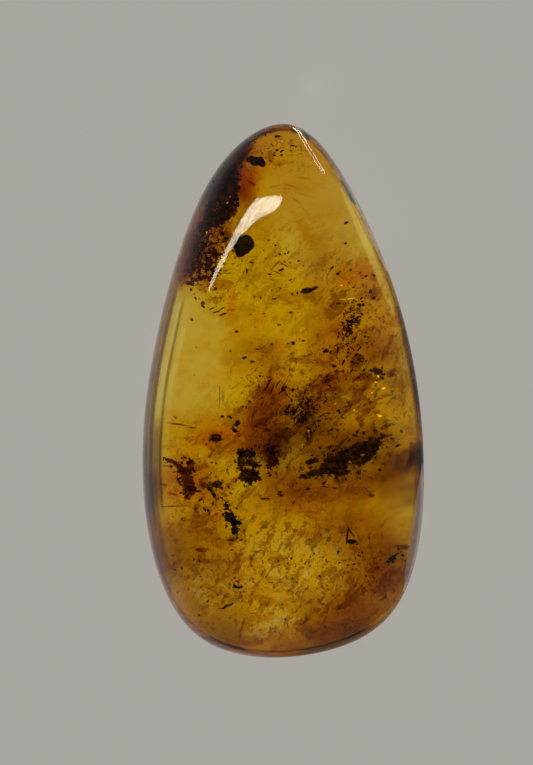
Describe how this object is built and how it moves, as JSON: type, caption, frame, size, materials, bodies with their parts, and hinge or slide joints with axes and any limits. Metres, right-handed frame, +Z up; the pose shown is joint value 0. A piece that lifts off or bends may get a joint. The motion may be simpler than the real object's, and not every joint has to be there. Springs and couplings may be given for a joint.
{
  "type": "polished amber pebble",
  "caption": "Drop-shaped, hand-polished pebble of clear honey-yellow amber with bark and wood debris sealed inside, lying on a small flat spot.",
  "frame": {"origin": "middle of the pebble's plan, on the plane of its flat resting spot", "axes": "+Y along the pebble towards its narrow tip, +Z up through its thickness, out of the more domed face, +X across"},
  "size_m": [0.0132, 0.025, 0.0062],
  "materials": {
    "polished_amber": "clear to cloudy honey yellow, hand polished",
    "bark": "matte, red-brown, crumbly",
    "dark_wood": "matte, nearly black brown",
    "black_pellet": "matte black"
  },
  "bodies": {
    "root": {"amber_upper_half": "polished_amber", "amber_lower_half": "polished_amber", "bark_crust_at_shoulder": "bark", "crumbled_bark_left": "bark", "speckled_clump_upper_right": "bark", "rusty_fragment_left": "bark", "forked_chip_left": "bark", "crumb_right": "bark", "spore_ball_left": "bark", "bark_fragment_right": "dark_wood", "square_wood_chip": "dark_wood", "winged_chip_left": "dark_wood", "hollow_chip_centre": "dark_wood", "looped_sliver_lower_right": "dark_wood", "leaf_flake_near_base": "dark_wood", "speck_near_lower_rim": "dark_wood", "round_pellet": "black_pellet", "wood_chip_near_tip": "black_pellet", "dark_sliver_near_base": "black_pellet", "crumb_cluster_centre": "dark_wood", "brown_lump_beside_chip": "bark"}
  },
  "joints": []
}
